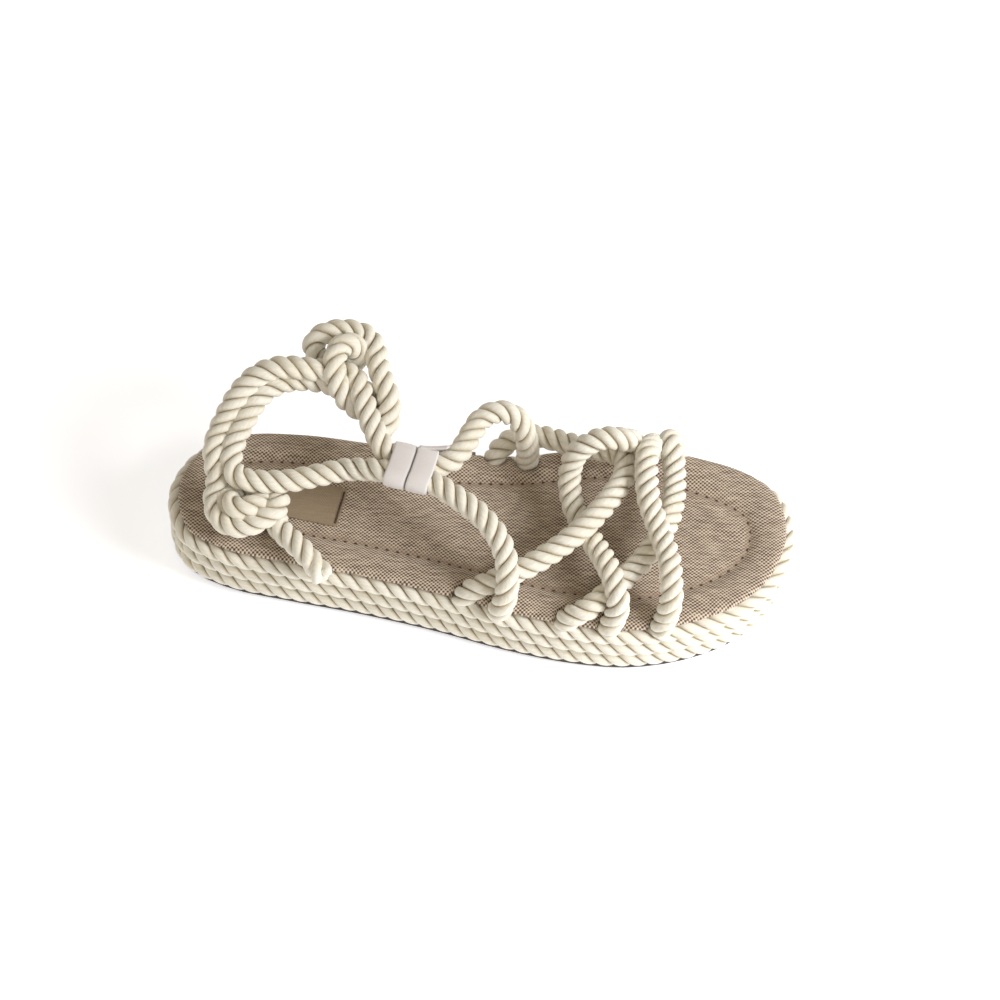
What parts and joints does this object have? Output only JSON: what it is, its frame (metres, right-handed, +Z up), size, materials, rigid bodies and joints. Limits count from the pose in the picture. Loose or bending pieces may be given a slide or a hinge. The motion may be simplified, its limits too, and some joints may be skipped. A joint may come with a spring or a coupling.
{
  "type": "rope sandal",
  "caption": "Flat right sandal with a rope wrapped platform sole, padded woven insole, looped rope straps over the forefoot, a bound instep and a heel strap tied with knots.",
  "frame": {"origin": "on the floor under the sole at mid-length", "axes": "+X towards the toe, +Y towards the inner (medial) side of the right foot, +Z up"},
  "size_m": [0.262, 0.1151, 0.0795],
  "materials": {
    "cotton_rope": "undyed three strand cotton rope, matt",
    "woven_insole": "coarse linen weave, matt",
    "outsole_rubber": "dull moulded rubber",
    "band_fabric": "brushed, matt",
    "joint_tape": "plain woven tape, matt",
    "label_fabric": "plain woven label, matt"
  },
  "bodies": {
    "root": {"sole": "outsole_rubber", "foxing_rope_1": "cotton_rope", "foxing_rope_2": "cotton_rope", "foxing_rope_3": "cotton_rope", "side_tape": "joint_tape", "insole": "woven_insole", "forefoot_ropes": "cotton_rope", "heel_sling": "cotton_rope", "binding_band": "band_fabric", "sock_label": "label_fabric"}
  },
  "joints": []
}
